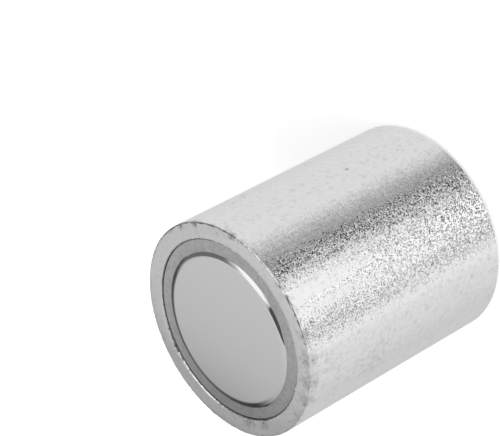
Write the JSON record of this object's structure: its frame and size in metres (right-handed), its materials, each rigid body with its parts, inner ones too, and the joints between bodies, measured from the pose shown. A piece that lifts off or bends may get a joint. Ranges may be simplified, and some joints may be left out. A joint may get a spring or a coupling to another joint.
{
  "type": "pot magnet",
  "caption": "Cylindrical pot magnet: steel pot with a threaded blind hole in its back, disc magnet potted into its front with a resin ring.",
  "frame": {"origin": "centre of the back face, on the axis; the part stands on this face", "axes": "+Z along the pot's axis, out of the holding face; X and Y are free, because the part is round"},
  "size_m": [0.025, 0.025, 0.03],
  "materials": {
    "zinc_plated_steel": "satin",
    "potting_resin": "matte",
    "nickel_plated_magnet": "polished"
  },
  "bodies": {
    "root": {"steel_pot": "zinc_plated_steel", "potting_ring": "potting_resin", "magnet": "nickel_plated_magnet"}
  },
  "joints": []
}
